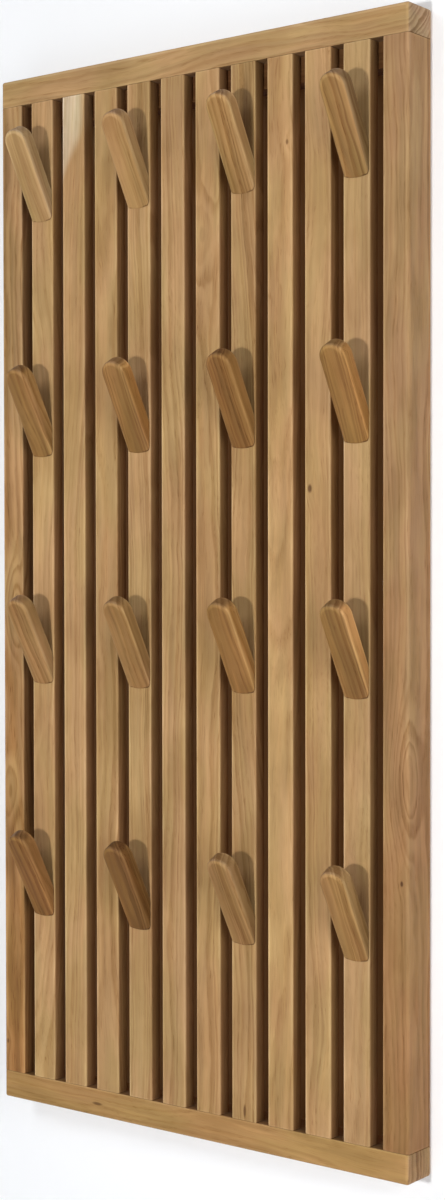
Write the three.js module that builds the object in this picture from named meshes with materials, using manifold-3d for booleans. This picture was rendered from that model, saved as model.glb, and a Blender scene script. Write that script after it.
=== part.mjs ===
// Slatted oak wall coat rack: a frame with tenoned slats flush with its front, and slanting pegs screwed
// to every third slat. Millimetres, +Z up. The back lies in the wall plane y = 0 and the front faces -Y.
// The origin is the middle of the top rail's back face.

import * as THREE from 'three';
import { mergeVertices } from 'three/addons/utils/BufferGeometryUtils.js';
import Module from 'manifold-3d';

const wasm = await Module();
wasm.setup();

// Frame
const RACK_HEIGHT = 1100;
const RACK_WIDTH = 518;
const FRAME_DEPTH = 40;
const TOP_RAIL_HEIGHT = 28;
const BOTTOM_RAIL_HEIGHT = 28.5;
const STILE_WIDTH = 28.5;
const FRAME_EASE = 2;
const STILE_TENON = { width: 12, depth: 26, length: 18 };

// Slats
const SLAT_COUNT = 10;
const SLAT_WIDTH = 30;
const SLAT_THICKNESS = 15;
const SLAT_EASE = 1.5;
const SLAT_TENON = { width: 20, depth: 7, length: 14 };

// Pegs: a row's height is that of its pegs' lower edges. The rows spread evenly between the top and
// bottom ones, apart from the small hand-set offsets of the rows between them.
const PEG_TOP_ROW_DROP = 156;
const PEG_BOTTOM_ROW_RISE = 203.5;
const PEG_ROW_OFFSETS = [0, -3, 2, 0];
const SLATS_PER_PEG = 3;
const PEG_LENGTH = 101;
const PEG_WIDTH = 29;
const PEG_THICKNESS = 16;
const PEG_TILT = THREE.MathUtils.degToRad(28.3);
const PEG_EDGE_INSET = 3;
const PEG_EDGE_DEPTH = 2.5;
const PEG_CROWN_RADIUS = 100;
const PEG_SCREW_HEIGHT = 27;
const PEG_SCREW_BITE = 11;

// Hanging batten behind the slats' upper ends
const BATTEN_HEIGHT = 25;
const BATTEN_EASE = 1;
const BATTEN_SCREW_BITE = 10;

// Keyhole hanger plates, let into the batten's back behind the last slat but one at each side
const HANGER_LENGTH = 60;
const HANGER_HEIGHT = 18;
const HANGER_THICKNESS = 2;
const HANGER_CORNER = 4;
const HANGER_SLAT_FROM_SIDE = 2;
const HANGER_SCREW_MARGIN = 7;
const HANGER_SCREW_LENGTH = 16;
const KEYHOLE_DIAMETER = 9;
const KEYHOLE_SLOT_WIDTH = 5;
const KEYHOLE_RISE = 6.5;
const KEYHOLE_DROP = 3;
const KEYHOLE_POCKET_DEPTH = 9;
const KEYHOLE_POCKET_MARGIN = 2.5;

// Wood screws: countersunk head, plain shank, pointed end
const SCREW_DIAMETER = 4;
const SCREW_HEAD_DIAMETER = 7.6;
const SCREW_HEAD_HEIGHT = 2;
const SCREW_POINT_LENGTH = 5;
const HANGER_SCREW_DIAMETER = 3;
const HANGER_SCREW_HEAD_DIAMETER = 6;
const HANGER_SCREW_HEAD_HEIGHT = 1.6;

// Clearances
const GLUE_LINE = 0.3;
const HOLE_CLEARANCE = 0.3;
const HEAD_SINK = 0.4;

// Smoothness of round forms
const EASE_STEPS = 1;
const PEG_TIP_STEPS = 7;
const PEG_EDGE_STEPS = 3;
const PEG_CROWN_SIDES = 90;
const SCREW_SIDES = 10;
const PLATE_ARC_STEPS = 4;

// Heights, from the origin in the middle of the top rail
const TOP = TOP_RAIL_HEIGHT / 2;
const FOOT = TOP - RACK_HEIGHT;
const BAY_TOP = TOP - TOP_RAIL_HEIGHT;
const BAY_FOOT = FOOT + BOTTOM_RAIL_HEIGHT;
const BAY_HEIGHT = BAY_TOP - BAY_FOOT;

// Depths, from the wall plane towards the front
const FRONT = -FRAME_DEPTH;
const SLAT_BACK = FRONT + SLAT_THICKNESS;
const SLAT_MIDDLE = FRONT + SLAT_THICKNESS / 2;
const BATTEN_DEPTH = FRAME_DEPTH - SLAT_THICKNESS - GLUE_LINE;

// Spacing across the bay
const BAY_WIDTH = RACK_WIDTH - 2 * STILE_WIDTH;
const SLAT_GAP = (BAY_WIDTH - SLAT_COUNT * SLAT_WIDTH) / (SLAT_COUNT + 1);
const SLAT_PITCH = SLAT_WIDTH + SLAT_GAP;
const slatX = (index) => (index - (SLAT_COUNT - 1) / 2) * SLAT_PITCH;
const slatIndices = Array.from({ length: SLAT_COUNT }, (_, index) => index);
const peggedSlats = slatIndices.filter((index) => index % SLATS_PER_PEG === 0);
const stileX = (RACK_WIDTH - STILE_WIDTH) / 2;

// Heights of the peg rows' lower edges, from the top row down
const PEG_ROW_PITCH = (RACK_HEIGHT - PEG_TOP_ROW_DROP - PEG_BOTTOM_ROW_RISE) / (PEG_ROW_OFFSETS.length - 1);
const pegRowZs = PEG_ROW_OFFSETS.map((offset, row) => TOP - PEG_TOP_ROW_DROP - row * PEG_ROW_PITCH + offset);

// Solids from geometry and back
function toSolid(geometry) {
  const bare = geometry.clone();
  bare.deleteAttribute('normal');
  bare.deleteAttribute('uv');
  const merged = mergeVertices(bare, 1e-4);
  const vertProperties = new Float32Array(merged.attributes.position.array);
  const triVerts = new Uint32Array(merged.index.array);
  return new wasm.Manifold(new wasm.Mesh({ numProp: 3, vertProperties, triVerts }));
}

function toGeometry(solid) {
  const mesh = solid.getMesh();
  const geometry = new THREE.BufferGeometry();
  geometry.setAttribute('position', new THREE.BufferAttribute(mesh.vertProperties, 3));
  geometry.setIndex(new THREE.BufferAttribute(mesh.triVerts, 1));
  geometry.computeVertexNormals();
  return geometry;
}

const join = (solids) => solids.reduce((whole, solid) => whole.add(solid));

// A rectangle with round corners, centred on its own origin
function roundedRectangle(width, height, radius) {
  const x = width / 2;
  const y = height / 2;
  const quarter = Math.PI / 2;
  const shape = new THREE.Shape();
  shape.absarc(x - radius, y - radius, radius, 0, quarter);
  shape.absarc(radius - x, y - radius, radius, quarter, 2 * quarter);
  shape.absarc(radius - x, radius - y, radius, 2 * quarter, 3 * quarter);
  shape.absarc(x - radius, radius - y, radius, 3 * quarter, 4 * quarter);
  shape.closePath();
  return shape;
}

// An upright bar with eased long edges and a stub tenon at each end, centred on its own origin
function tenonedBar(width, depth, height, ease, tenon) {
  const options = { depth: height, bevelEnabled: false, curveSegments: EASE_STEPS };
  const bar = new THREE.ExtrudeGeometry(roundedRectangle(width, depth, ease), options);
  const core = new THREE.BoxGeometry(tenon.width, tenon.depth, height + 2 * tenon.length);
  return toGeometry(toSolid(bar.translate(0, 0, -height / 2)).add(toSolid(core)));
}

// The space that a bar's two tenons need, from the middle of the bar
function mortises(tenon, height) {
  const play = 2 * HOLE_CLEARANCE;
  const reach = height + 2 * tenon.length + play;
  return toSolid(new THREE.BoxGeometry(tenon.width + play, tenon.depth + play, reach));
}

// A level bar along X with every edge eased, its ends too, centred on its own origin
function levelBar(length, depth, height, ease) {
  const options = {
    depth: length - 2 * ease,
    bevelThickness: ease,
    bevelSize: ease,
    bevelOffset: -ease,
    bevelSegments: 2 * EASE_STEPS,
    curveSegments: EASE_STEPS,
  };
  const bar = new THREE.ExtrudeGeometry(roundedRectangle(height, depth, ease * 1.5), options);
  bar.translate(0, 0, ease - length / 2);
  return bar.rotateY(Math.PI / 2);
}

// A countersunk wood screw along -Y: its head's flat face is at the origin. A grown one is the cutter of
// its hole, which also opens the way for the head from behind.
function screw(length, size, growth = 0) {
  const shank = size.diameter / 2 + growth;
  const head = size.headDiameter / 2 + growth;
  const behind = growth > 0 ? 2 * HEAD_SINK : 0;
  const profile = [
    new THREE.Vector2(0, -length - growth),
    new THREE.Vector2(shank, SCREW_POINT_LENGTH - length - growth),
    new THREE.Vector2(shank, -size.headHeight),
    new THREE.Vector2(head, 0),
    new THREE.Vector2(head, behind),
    new THREE.Vector2(0, behind),
  ];
  const points = behind > 0 ? profile : profile.filter((_, index) => index !== 4);
  return new THREE.LatheGeometry(points, SCREW_SIDES);
}

const WOOD_SCREW = {
  diameter: SCREW_DIAMETER,
  headDiameter: SCREW_HEAD_DIAMETER,
  headHeight: SCREW_HEAD_HEIGHT,
};
const HANGER_SCREW = {
  diameter: HANGER_SCREW_DIAMETER,
  headDiameter: HANGER_SCREW_HEAD_DIAMETER,
  headHeight: HANGER_SCREW_HEAD_HEIGHT,
};

// Each set of screws is a list of named places and a shape that takes the growth of its hole
const battenZ = BAY_TOP - GLUE_LINE - BATTEN_HEIGHT / 2;
const hangerXs = [-1, 1].map((side) => side * Math.abs(slatX(HANGER_SLAT_FROM_SIDE - 1)));

const pegScrews = {
  shape: (growth) => screw(SLAT_THICKNESS - HEAD_SINK + GLUE_LINE + PEG_SCREW_BITE, WOOD_SCREW, growth),
  places: pegRowZs.flatMap((z, row) => peggedSlats.map((index, column) => ({
    name: `peg_screw_row${row + 1}_col${column + 1}`,
    at: [slatX(index), SLAT_BACK - HEAD_SINK, z + PEG_SCREW_HEIGHT],
  }))),
};
const battenScrews = {
  shape: (growth) => screw(BATTEN_DEPTH - HEAD_SINK + GLUE_LINE + BATTEN_SCREW_BITE, WOOD_SCREW, growth),
  places: peggedSlats.map((index) => ({
    name: `batten_screw_slat${index + 1}`,
    at: [slatX(index), -HEAD_SINK, battenZ],
  })),
};
const hangerScrews = {
  shape: (growth) => screw(HANGER_SCREW_LENGTH, HANGER_SCREW, growth),
  places: hangerXs.flatMap((x, plate) => [-1, 1].map((side, end) => ({
    name: `hanger_screw_${plate + 1}_${end + 1}`,
    at: [x + side * (HANGER_LENGTH / 2 - HANGER_SCREW_MARGIN), -HEAD_SINK, battenZ],
  }))),
};
const screwSets = [pegScrews, battenScrews, hangerScrews];

// Every screw's hole, as one solid
const holes = join(screwSets.flatMap((set) => {
  const cutter = toSolid(set.shape(HOLE_CLEARANCE));
  return set.places.map((place) => cutter.translate(place.at));
}));

// A piece's geometry about its own origin, with every hole that passes through its place
function bored(geometry, place) {
  const back = place.map((value) => -value);
  return toGeometry(toSolid(geometry).translate(place).subtract(holes).translate(back));
}

// Materials
const oak = (color, roughness = 0.55) => new THREE.MeshStandardMaterial({ color, roughness, metalness: 0 });
const steel = () => new THREE.MeshStandardMaterial({ color: 0xb9bcc0, roughness: 0.35, metalness: 1 });
const FRAME_OAK = 0xaf8b5f;
const SLAT_OAKS = [0xb8966a, 0xba996d, 0xae875e, 0xb79369, 0xb38f65];
const PEG_OAKS = [0xa27d4f, 0x8e663e, 0x93693f, 0xa07a4c];
const BATTEN_OAK = 0xa5835a;

const rack = new THREE.Group();

function add(name, geometry, material, place = [0, 0, 0]) {
  const mesh = new THREE.Mesh(geometry, material);
  mesh.name = name;
  mesh.position.set(...place);
  rack.add(mesh);
}

function addBored(name, geometry, material, place) {
  add(name, bored(geometry, place), material, place);
}

// Frame: the rails run the full width and cap the stiles; the tenons of stiles and slats enter them
const BAR_HEIGHT = BAY_HEIGHT - 2 * GLUE_LINE;
const BAR_Z = (BAY_TOP + BAY_FOOT) / 2;
const stilePlaces = [-stileX, stileX].map((x) => [x, FRONT / 2, BAR_Z]);
const slatPlaces = slatIndices.map((index) => [slatX(index), SLAT_MIDDLE, BAR_Z]);
const railMortises = join([
  ...stilePlaces.map((place) => mortises(STILE_TENON, BAR_HEIGHT).translate(place)),
  ...slatPlaces.map((place) => mortises(SLAT_TENON, BAR_HEIGHT).translate(place)),
]);

function addRail(name, height, z) {
  const place = [0, FRONT / 2, z];
  const bar = toSolid(levelBar(RACK_WIDTH, FRAME_DEPTH, height, FRAME_EASE)).translate(place);
  const mortised = bar.subtract(railMortises).translate(place.map((value) => -value));
  add(name, toGeometry(mortised), oak(FRAME_OAK), place);
}

function addStile(name, place) {
  add(name, tenonedBar(STILE_WIDTH, FRAME_DEPTH, BAR_HEIGHT, FRAME_EASE, STILE_TENON), oak(FRAME_OAK), place);
}

// Slats: flush with the frame's front, evenly spread between the stiles
function addSlat(place, index) {
  const bar = tenonedBar(SLAT_WIDTH, SLAT_THICKNESS, BAR_HEIGHT, SLAT_EASE, SLAT_TENON);
  addBored(`slat_${index + 1}`, bar, oak(SLAT_OAKS[index % SLAT_OAKS.length]), place);
}

// A peg about the lower edge of its foot: a round-ended slab with softly rounded edges and a crowned
// front, tipped forward from upright and mitred flat where it meets the slat
function pegGeometry() {
  const radius = PEG_WIDTH / 2;
  const outline = new THREE.Shape();
  outline.moveTo(-radius, -PEG_THICKNESS);
  outline.lineTo(radius, -PEG_THICKNESS);
  outline.absarc(0, PEG_LENGTH - radius, radius, 0, Math.PI);
  outline.closePath();
  const slab = new THREE.ExtrudeGeometry(outline, {
    depth: PEG_THICKNESS - 2 * PEG_EDGE_DEPTH,
    bevelThickness: PEG_EDGE_DEPTH,
    bevelSize: PEG_EDGE_INSET,
    bevelOffset: -PEG_EDGE_INSET,
    bevelSegments: PEG_EDGE_STEPS,
    curveSegments: PEG_TIP_STEPS,
  });
  slab.translate(0, 0, PEG_EDGE_DEPTH - PEG_THICKNESS);
  const reach = 2 * (PEG_LENGTH + PEG_THICKNESS);
  const crown = new THREE.CylinderGeometry(PEG_CROWN_RADIUS, PEG_CROWN_RADIUS, reach, PEG_CROWN_SIDES);
  crown.translate(0, 0, -PEG_CROWN_RADIUS);
  const slatSide = new THREE.BoxGeometry(reach, reach, reach).translate(0, reach / 2, 0);
  const tipping = Math.PI / 2 + PEG_TILT;
  const tipped = toSolid(slab.rotateX(tipping)).intersect(toSolid(crown.rotateX(tipping)));
  return toGeometry(tipped.subtract(toSolid(slatSide)));
}

const peg = pegGeometry();

function addPeg(row, column) {
  const place = [slatX(peggedSlats[column]), FRONT - GLUE_LINE, pegRowZs[row]];
  addBored(`peg_row${row + 1}_col${column + 1}`, peg, oak(PEG_OAKS[row]), place);
}

// A keyhole: the wall screw's head enters below and the shank slides up the slot
function keyhole(margin) {
  const head = KEYHOLE_DIAMETER / 2 + margin;
  const slot = KEYHOLE_SLOT_WIDTH / 2 + margin;
  const shoulder = Math.asin(slot / head);
  const path = new THREE.Path();
  path.absarc(0, KEYHOLE_RISE - KEYHOLE_DROP, slot, 0, Math.PI);
  path.absarc(0, -KEYHOLE_DROP, head, Math.PI / 2 + shoulder, Math.PI * 2.5 - shoulder);
  path.closePath();
  return path;
}

// A plate of the batten's back, drawn looking along -Y, from y = 0 down to a depth in the wood
function plateGeometry(shape, depth) {
  const options = { depth, bevelEnabled: false, curveSegments: PLATE_ARC_STEPS };
  return new THREE.ExtrudeGeometry(shape, options).rotateX(Math.PI / 2);
}

function hangerPlate() {
  const shape = roundedRectangle(HANGER_LENGTH, HANGER_HEIGHT, HANGER_CORNER);
  shape.holes.push(keyhole(0));
  return plateGeometry(shape, HANGER_THICKNESS);
}

function hangerPocket() {
  const play = 2 * HOLE_CLEARANCE;
  const seat = roundedRectangle(HANGER_LENGTH + play, HANGER_HEIGHT + play, HANGER_CORNER + HOLE_CLEARANCE);
  const seatDepth = HANGER_THICKNESS + HOLE_CLEARANCE;
  const well = new THREE.Shape(keyhole(KEYHOLE_POCKET_MARGIN).getPoints(PLATE_ARC_STEPS));
  const wellDepth = HANGER_THICKNESS + KEYHOLE_POCKET_DEPTH;
  const cutters = [[seat, seatDepth], [well, wellDepth]];
  return join(cutters.map(([shape, depth]) => toSolid(plateGeometry(shape, depth + 1).translate(0, 1, 0))));
}

// Hanging batten: fills the depth behind the slats, under the top rail and between the stiles
function addBatten() {
  const length = BAY_WIDTH - 2 * GLUE_LINE;
  const bar = levelBar(length, BATTEN_DEPTH, BATTEN_HEIGHT, BATTEN_EASE);
  const place = [0, -BATTEN_DEPTH / 2, battenZ];
  const pocket = hangerPocket();
  const pockets = join(hangerXs.map((x) => pocket.translate([x, BATTEN_DEPTH / 2, 0])));
  addBored('hanging_batten', toGeometry(toSolid(bar).subtract(pockets)), oak(BATTEN_OAK), place);
}

addRail('top_rail', TOP_RAIL_HEIGHT, TOP - TOP_RAIL_HEIGHT / 2);
addRail('bottom_rail', BOTTOM_RAIL_HEIGHT, FOOT + BOTTOM_RAIL_HEIGHT / 2);
addStile('left_stile', stilePlaces[0]);
addStile('right_stile', stilePlaces[1]);
slatPlaces.forEach(addSlat);
pegRowZs.forEach((_z, row) => peggedSlats.forEach((_index, column) => addPeg(row, column)));
addBatten();
hangerXs.forEach((x, side) => addBored(`hanger_plate_${side + 1}`, hangerPlate(), steel(), [x, 0, battenZ]));
for (const set of screwSets) {
  const geometry = set.shape(0);
  for (const place of set.places) add(place.name, geometry, steel(), place.at);
}

export default rack;
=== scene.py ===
# The looks of a slatted oak wall coat rack. Each board, peg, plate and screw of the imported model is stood
# for by a mesh with round edges and its own cut of oak, or by plated steel. Metres, +Z up, in the model's
# frame: the wall plane is y = 0, the rack faces -Y, and the origin is the middle of the top rail's back.

import math
import random

import bmesh
import bpy
from mathutils import Matrix, Vector, geometry


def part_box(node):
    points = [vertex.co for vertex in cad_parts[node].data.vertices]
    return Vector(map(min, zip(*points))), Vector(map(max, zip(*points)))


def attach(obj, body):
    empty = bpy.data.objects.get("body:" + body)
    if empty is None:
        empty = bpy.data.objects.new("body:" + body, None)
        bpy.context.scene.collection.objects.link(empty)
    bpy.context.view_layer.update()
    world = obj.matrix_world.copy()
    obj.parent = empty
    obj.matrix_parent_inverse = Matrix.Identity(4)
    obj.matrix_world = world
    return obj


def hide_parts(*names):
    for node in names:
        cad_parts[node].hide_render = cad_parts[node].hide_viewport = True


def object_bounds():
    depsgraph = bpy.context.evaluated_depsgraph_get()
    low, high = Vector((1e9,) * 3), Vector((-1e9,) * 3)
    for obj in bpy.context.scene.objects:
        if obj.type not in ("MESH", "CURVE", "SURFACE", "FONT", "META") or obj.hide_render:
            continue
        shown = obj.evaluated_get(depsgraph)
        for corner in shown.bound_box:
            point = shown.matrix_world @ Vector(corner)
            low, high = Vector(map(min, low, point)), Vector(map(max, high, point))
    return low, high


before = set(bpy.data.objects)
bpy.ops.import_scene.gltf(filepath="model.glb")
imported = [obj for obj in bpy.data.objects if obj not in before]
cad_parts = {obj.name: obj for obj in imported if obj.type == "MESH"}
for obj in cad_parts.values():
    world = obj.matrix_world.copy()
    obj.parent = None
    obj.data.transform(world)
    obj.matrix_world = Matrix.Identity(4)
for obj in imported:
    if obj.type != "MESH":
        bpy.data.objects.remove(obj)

cad_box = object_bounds()
RACK_MIDDLE = (cad_box[0] + cad_box[1]) / 2
FOOT_LEVEL = cad_box[0].z
MM = 0.001

# Pieces of the model. The pegs' columns are the numbers of the slats that carry them
STILES = ("left_stile", "right_stile")
SLAT_COUNT = sum(name.startswith("slat_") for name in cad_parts)
SLATS = [f"slat_{index}" for index in range(1, SLAT_COUNT + 1)]
BATTEN_SCREW = "batten_screw_slat"
PEG_COLUMNS = sorted(int(name.removeprefix(BATTEN_SCREW))
                     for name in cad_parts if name.startswith(BATTEN_SCREW))
PEG_ROWS = sum(name.startswith("peg_row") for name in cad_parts) // len(PEG_COLUMNS)
PLATES = (1, 2)
PLATE_SCREWS = (1, 2)

# A board's long sides by number, in turn. The one after them, at -Y, is its front
PLUS_X, PLUS_Y, MINUS_X = range(3)

# Board edges
OUTER_RADIUS = 2.4 * MM
JOINT_RADIUS = 0.3 * MM
SLAT_RADIUS = 1.3 * MM
BATTEN_RADIUS = 0.3 * MM
BUTT_RADIUS = 0.2 * MM
SHARPEST_RADIUS = 0.1 * MM
ARC_STEPS = 4
WEAR_WIDTH = 1.6 * MM
SHARP_ANGLE = 40

# How pale the long edges are, from +X -Y on, turning from +X to +Y: rubbed wood, and on the uprights'
# left and the rails' upper front edges more, a painted highlight where those edges catch the light
EVEN_WEAR = (0.4, 0.4, 0.4, 0.4)
UPRIGHT_WEAR_AND_HIGHLIGHT = (0.3, 0.3, 0.6, 1.0)
RAIL_WEAR_AND_HIGHLIGHT = (0.3, 0.3, 0.6, 0.8)
END_WEAR = 0.3

# Joints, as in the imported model: width, depth and length of a tenon
SLAT_TENON = (20 * MM, 7 * MM, 14 * MM)
STILE_TENON = (12 * MM, 26 * MM, 18 * MM)
CLEARANCE = 0.3 * MM

# Pegs. The paleness of their edges at the sides, rubbed wood and painted highlight, is a share of that round
# the tip
PEG_TILT = math.radians(28.3)
PEG_THICKNESS = 16 * MM
PEG_LENGTH = 101 * MM
PEG_CROWN_RADIUS = 100 * MM
PEG_FRONT_EDGE = 2.7 * MM
PEG_REAR_EDGE = 2.3 * MM
PEG_EDGE_STEPS = 6
PEG_TIP_STEPS = 20
PEG_SHAFT_STEPS = 4
PEG_SIDE_WEAR_AND_HIGHLIGHT = 0.5
WELD_DISTANCE = 0.01 * MM

# Hanger plates
PLATE_CORNER = 4 * MM
PLATE_ARRIS = 0.3 * MM
KEYHOLE_RADIUS = 4.5 * MM
KEYHOLE_SLOT_RADIUS = 2.5 * MM
KEYHOLE_RISE = 6.5 * MM
KEYHOLE_DROP = 3 * MM
KEYHOLE_WELL_MARGIN = 2.5 * MM
KEYHOLE_WELL_DEPTH = 9 * MM
KEYHOLE_SLOT_STEPS = 10
STEEL_SHARP_ANGLE = 30

# Screws. The thread's share is of the pitch, the cross's depth of the head's height, its taper of its reach
WOOD_SCREW = {"radius": 2 * MM, "head_height": 2 * MM, "cross": 2.2 * MM}
HANGER_SCREW = {"radius": 1.5 * MM, "head_height": 1.6 * MM, "cross": 1.8 * MM}
SCREW_POINT = 5 * MM
POINT_RADIUS = 0.1 * MM
HEAD_RIM = 0.1 * MM
THREAD_PITCH = 1.8 * MM
THREAD_DEPTH = 0.4 * MM
THREAD_SHARE = 0.5
CROSS_DEPTH = 0.6
CROSS_TAPER = 0.5
HEAD_SINK = 0.4 * MM
HOLE_DEPTH = 8 * MM
ROUND_SIDES = 24

# Camera, from the photograph's perspective. The sensor's size counts along the image's height
SENSOR_MM = 36
LENS_MM = 59.74
CAMERA_PLACE = (1.25015, -1.60728, -0.50054)
CAMERA_AZIMUTH = math.radians(37.647)
CAMERA_ELEVATION = math.radians(-1.182)
CAMERA_ROLL = math.radians(-0.08)


# Meshes

def skin(bm, loops):
    """Joins each closed loop of vertices to the next with quads."""
    for near, far in zip(loops, loops[1:]):
        for index, vert in enumerate(near):
            after = (index + 1) % len(near)
            bm.faces.new((vert, near[after], far[after], far[index]))


def cover(bm, loops):
    """Fills a flat face inside its first loop and around the others."""
    if len(loops) == 1:
        bm.faces.new(loops[0])
        return
    corners = [vert for loop in loops for vert in loop]
    for triangle in geometry.tessellate_polygon([[vert.co for vert in loop] for loop in loops]):
        bm.faces.new([corners[index] for index in triangle])


def loops_of(bm, outlines):
    return [[bm.verts.new(point) for point in outline] for outline in outlines]


def sink(bm, boundary, pockets):
    """Fills a flat face around its pockets. A pocket is its outlines, from the face to the floor, and the
    pockets in that floor. One that rises out of the face is a tenon."""
    mouths = []
    for outlines, deeper in pockets:
        loops = loops_of(bm, outlines)
        skin(bm, loops)
        sink(bm, loops[-1], deeper)
        mouths.append(loops[0])
    cover(bm, [boundary, *mouths])


def finished(name, bm, angle=SHARP_ANGLE):
    """The mesh of a closed form: faces outwards, smooth but for edges sharper than the angle."""
    bmesh.ops.recalc_face_normals(bm, faces=bm.faces)
    mesh = bpy.data.meshes.new(name)
    bm.to_mesh(mesh)
    bm.free()
    mesh.shade_smooth()
    mesh.set_sharp_from_angle(angle=math.radians(angle))
    return mesh


def stand_for(node, mesh, suffix, material, matrix):
    """Puts a mesh in the place of a node of the model."""
    piece = bpy.data.objects.new(f"{node}.{suffix}", mesh)
    bpy.context.scene.collection.objects.link(piece)
    piece.matrix_world = matrix
    piece.data.materials.clear()
    piece.data.materials.append(material)
    piece.modifiers.new("weighted_normals", "WEIGHTED_NORMAL").keep_sharp = True
    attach(piece, "root")
    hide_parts(node)


# Outlines in a face: (u, v) pairs

def rectangle(u, v, width, height):
    half_width, half_height = width / 2, height / 2
    signs = ((-1, -1), (1, -1), (1, 1), (-1, 1))
    return [(u + x * half_width, v + y * half_height) for x, y in signs]


def arc(u, v, radius, start, end, steps):
    angles = [math.radians(start + (end - start) * step / steps) for step in range(steps + 1)]
    return [(u + radius * math.cos(angle), v + radius * math.sin(angle)) for angle in angles]


def circle(u, v, radius):
    return arc(u, v, radius, 0, 360, ROUND_SIDES)[:-1]


def rounded_rectangle(u, v, width, height, radius):
    corners = rectangle(u, v, width - 2 * radius, height - 2 * radius)
    return [point for turn, (x, y) in enumerate(corners)
            for point in arc(x, y, radius, 180 + 90 * turn, 270 + 90 * turn, ARC_STEPS)]


def keyhole(u, margin=0.0):
    """A round entry below and a slot above it, as one outline."""
    entry, slot = KEYHOLE_RADIUS + margin, KEYHOLE_SLOT_RADIUS + margin
    shoulder = math.degrees(math.asin(slot / entry))
    return [
        *arc(u, KEYHOLE_RISE - KEYHOLE_DROP, slot, 0, 180, KEYHOLE_SLOT_STEPS),
        *arc(u, -KEYHOLE_DROP, entry, 90 + shoulder, 450 - shoulder, ROUND_SIDES),
    ]


def cross(reach):
    """The outline of a cross whose arms are as wide as a quarter of its span."""
    arm = reach / 4
    half = [(arm, reach), (arm, arm), (reach, arm), (reach, -arm), (arm, -arm), (arm, -reach)]
    return half + [(-u, -v) for u, v in half]


def layers(place, *levels):
    """Outlines in space: each outline at its level, placed by a function of (u, v, level)."""
    return [[place(u, v, level) for u, v in outline] for outline, level in levels]


def back_of(half_depth):
    """Places (u, v) at a depth in a board's back, which faces +Y."""
    return lambda u, v, level: (u, half_depth - level, v)


# Boards

def section(sides, radii, inset, edge_wear_and_highlight):
    """A rectangle with round corners as (x, y, paleness) points, smaller by the inset. Each round edge has
    its own paleness, rubbed wood and painted highlight, which ends a short way in on the flats."""
    low_x, high_x, low_y, high_y = sides
    corners = ((high_x, low_y), (high_x, high_y), (low_x, high_y), (low_x, low_y))
    middle_x, middle_y = (low_x + high_x) / 2, (low_y + high_y) / 2
    points = []
    for turn, ((x, y), radius, wear) in enumerate(zip(corners, radii, edge_wear_and_highlight)):
        radius = max(radius - inset, SHARPEST_RADIUS)
        centre_x = x - math.copysign(radius, x - middle_x)
        centre_y = y - math.copysign(radius, y - middle_y)
        start = 90 * (turn - 1)
        round_edge = arc(centre_x, centre_y, radius, start, start + 90, ARC_STEPS)
        turned = [math.radians(angle) for angle in (start, start + 90)]
        tangents = [Vector((-math.sin(angle), math.cos(angle))) for angle in turned]
        before = Vector(round_edge[0]) - WEAR_WIDTH * tangents[0]
        after = Vector(round_edge[-1]) + WEAR_WIDTH * tangents[1]
        points += [(*before, 0), *[(*point, wear) for point in round_edge], (*after, 0)]
    return points


def board(name, size, radii, end_radius, edge_wear_and_highlight=EVEN_WEAR, joint_side=None, sides=None, ends=None):
    """A bar along Z about its own middle. Its long edges start at +X -Y and turn from +X to +Y. A joint
    side is closed against another board, so its end edges stay nearly sharp. sides and ends hold pockets:
    sides by number, in turn from +X, and ends by -1 and 1."""
    half_x, half_y, half_z = size[0] / 2, size[1] / 2, size[2] / 2
    narrow = min(end_radius, JOINT_RADIUS) / end_radius
    shares = [narrow if side == joint_side else 1 for side in range(4)]

    bm = bmesh.new()
    layer = bm.verts.layers.float.new("wear")

    def ring(z, inset, end_wear):
        box = (-half_x + inset * shares[2], half_x - inset * shares[0],
               -half_y + inset * shares[3], half_y - inset * shares[1])
        loop = []
        for x, y, wear in section(box, radii, inset, edge_wear_and_highlight):
            vert = bm.verts.new((x, y, z))
            vert[layer] = wear if end_wear is None else end_wear
            loop.append(vert)
        return loop

    rounding = []
    for step in range(ARC_STEPS + 1):
        angle = math.radians(90 * step / ARC_STEPS)
        rounding.append((end_radius * (1 - math.cos(angle)), end_radius * (1 - math.sin(angle)), END_WEAR))
    stations = [(0, end_radius + WEAR_WIDTH, 0), *rounding, (end_radius + WEAR_WIDTH, 0, None)]
    low = [ring(height - half_z, inset, wear) for height, inset, wear in stations]
    high = [ring(half_z - height, inset, wear) for height, inset, wear in reversed(stations)]
    skin(bm, low)
    skin(bm, high)

    # The quad after each corner's last point is a flat
    corner_points = ARC_STEPS + 3
    flats = {corner_points * (side + 1) - 1: side for side in range(4)}
    near, far = low[-1], high[0]
    for index in range(len(near)):
        after = (index + 1) % len(near)
        quad = (near[index], near[after], far[after], far[index])
        pockets = (sides or {}).get(flats.get(index), [])
        sink(bm, quad, pockets)
    sink(bm, low[0], (ends or {}).get(-1, []))
    sink(bm, high[-1], (ends or {}).get(1, []))
    return finished(name, bm)


def node_box(node):
    """The middle and the size of a node of the model."""
    low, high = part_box(node)
    return (low + high) / 2, high - low


def upright(name, tenon):
    """The middle and the size of an upright bar without its tenons."""
    middle, size = node_box(name)
    return middle, Vector((size.x, size.y, size.z - 2 * tenon[2]))


def level_bar(name):
    """The middle of a level board, and its size along its own axes."""
    middle, size = node_box(name)
    return middle, Vector((size.z, size.y, size.x))


def sign_of(side):
    """Which way a side at +X or -X faces."""
    return 1 if side == PLUS_X else -1


def long_radii(side, here, opposite):
    """The radii of a board's long edges, on its side at +X or -X and opposite."""
    return [here, here, opposite, opposite] if side == PLUS_X else [opposite, opposite, here, here]


def tenons(size, tenon):
    """The two stub tenons of an upright bar, whose size leaves them out."""
    width, depth, length = tenon
    outline = rectangle(0, 0, width, depth)

    def place(u, v, level):
        return (u, v, level)

    return {end: [(layers(place, (outline, end * size.z / 2), (outline, end * (size.z / 2 + length))), [])]
            for end in (-1, 1)}


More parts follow.
